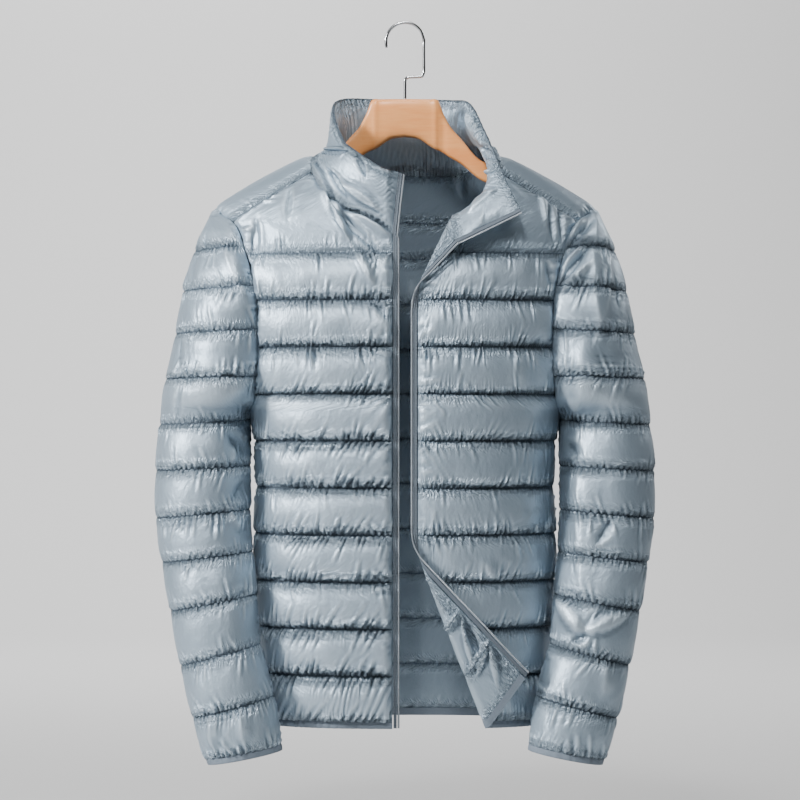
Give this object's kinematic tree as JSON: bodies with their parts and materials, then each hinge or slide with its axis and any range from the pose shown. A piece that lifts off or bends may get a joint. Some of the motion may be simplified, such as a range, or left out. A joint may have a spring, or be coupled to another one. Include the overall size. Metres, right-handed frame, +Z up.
{
  "type": "puffer jacket on a hanger",
  "caption": "Light quilted down jacket, open at the front, hung filled out on a wooden hanger with a steel wire hook: a whole garment for a rail, shop or wardrobe",
  "frame": {"origin": "the inside top of the hanger's hook, where it rests on a rod", "axes": "+X to the wearer's left, -Y to the front, +Z up"},
  "size_m": [0.6026, 0.2436, 0.8837],
  "materials": {
    "shell": "satin woven nylon, silver blue-grey, quilted",
    "binding": "matt elastic binding, darker blue-grey",
    "zip_tape": "matt woven tape",
    "zip_coil": "moulded nylon coil",
    "wood": "clear satin lacquer over warm peach wood",
    "steel": "bright drawn wire"
  },
  "bodies": {
    "root": {"front_right": "shell", "front_left": "shell", "back": "shell", "sleeve_right": "shell", "sleeve_left": "shell", "collar": "shell", "hem_binding": "binding", "cuff_binding_right": "binding", "cuff_binding_left": "binding", "zip_tape_right": "zip_tape", "zip_tape_left": "zip_tape", "zip_coil_right": "zip_coil", "zip_coil_left": "zip_coil", "hanger_wood": "wood", "hanger_hook": "steel"}
  },
  "joints": []
}
